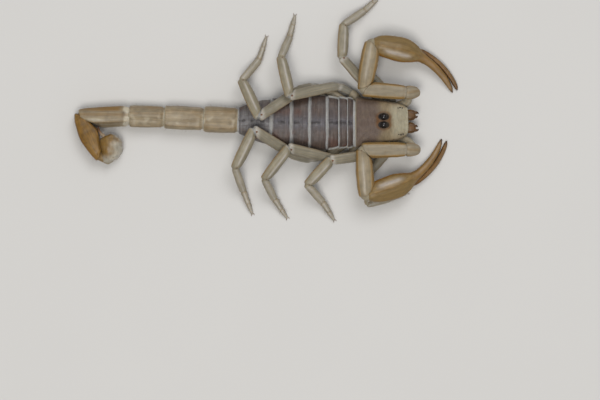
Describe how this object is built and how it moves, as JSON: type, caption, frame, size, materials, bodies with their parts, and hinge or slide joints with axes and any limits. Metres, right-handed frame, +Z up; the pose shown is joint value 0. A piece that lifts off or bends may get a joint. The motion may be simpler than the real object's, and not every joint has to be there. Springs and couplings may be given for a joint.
{
  "type": "desert scorpion",
  "caption": "Life-size sand scorpion lying flat, pincers spread forward, legs splayed and tail laid straight back with its end folded to one side.",
  "frame": {"origin": "middle of the belly's flat under the abdomen, on the floor the animal lies on", "axes": "+X to the head along the body, +Y to the animal's left, +Z up"},
  "size_m": [0.0613, 0.0361, 0.006],
  "materials": {
    "shield": "satin shell, brown-grey behind the eyes and cream in front",
    "back": "satin mauve-brown plates with pale rear edges",
    "tail": "satin straw-coloured shell with darker keels",
    "tail_end": "satin orange-brown shell",
    "bulb": "smooth pale shell, olive-orange on the back",
    "sting": "polished dark red-brown",
    "pincer": "satin olive-tan shell with lighter facets",
    "finger": "satin dark orange-brown shell",
    "leg": "satin grey-straw shell",
    "underside": "satin pale cream shell",
    "jaw": "satin cream shell with dark brown teeth",
    "comb": "matt ivory",
    "eye": "black and wet-looking",
    "membrane": "soft pale joint skin",
    "setae": "fine amber bristles"
  },
  "bodies": {
    "root": {"carapace": "shield", "coxosternum": "underside", "chelicera_left": "jaw", "chelicera_right": "jaw", "eye_left": "eye", "eye_right": "eye", "mesosoma_1": "back", "mesosoma_2": "back", "mesosoma_3": "back", "mesosoma_4": "back", "mesosoma_5": "back", "mesosoma_6": "back", "mesosoma_7": "back", "pecten_left": "comb", "pecten_right": "comb", "metasoma_1": "tail", "metasoma_2": "tail", "metasoma_3": "tail", "metasoma_4": "tail", "metasoma_5": "tail_end", "telson": "bulb", "aculeus": "sting", "pedipalp_left_trochanter": "leg", "pedipalp_left_femur": "leg", "pedipalp_left_patella": "pincer", "pedipalp_left_manus": "pincer", "pedipalp_left_finger": "finger", "leg_left_1_femur": "leg", "leg_left_1_patella": "leg", "leg_left_1_foot": "leg", "leg_left_2_femur": "leg", "leg_left_2_patella": "leg", "leg_left_2_foot": "leg", "leg_left_3_femur": "leg", "leg_left_3_patella": "leg", "leg_left_3_foot": "leg", "leg_left_4_femur": "leg", "leg_left_4_patella": "leg", "leg_left_4_foot": "leg", "pedipalp_right_trochanter": "leg", "pedipalp_right_femur": "leg", "pedipalp_right_patella": "pincer", "pedipalp_right_manus": "pincer", "pedipalp_right_finger": "finger", "leg_right_1_femur": "leg", "leg_right_1_patella": "leg", "leg_right_1_foot": "leg", "leg_right_2_femur": "leg", "leg_right_2_patella": "leg", "leg_right_2_foot": "leg", "leg_right_3_femur": "leg", "leg_right_3_patella": "leg", "leg_right_3_foot": "leg", "leg_right_4_femur": "leg", "leg_right_4_patella": "leg", "leg_right_4_foot": "leg"}
  },
  "joints": []
}
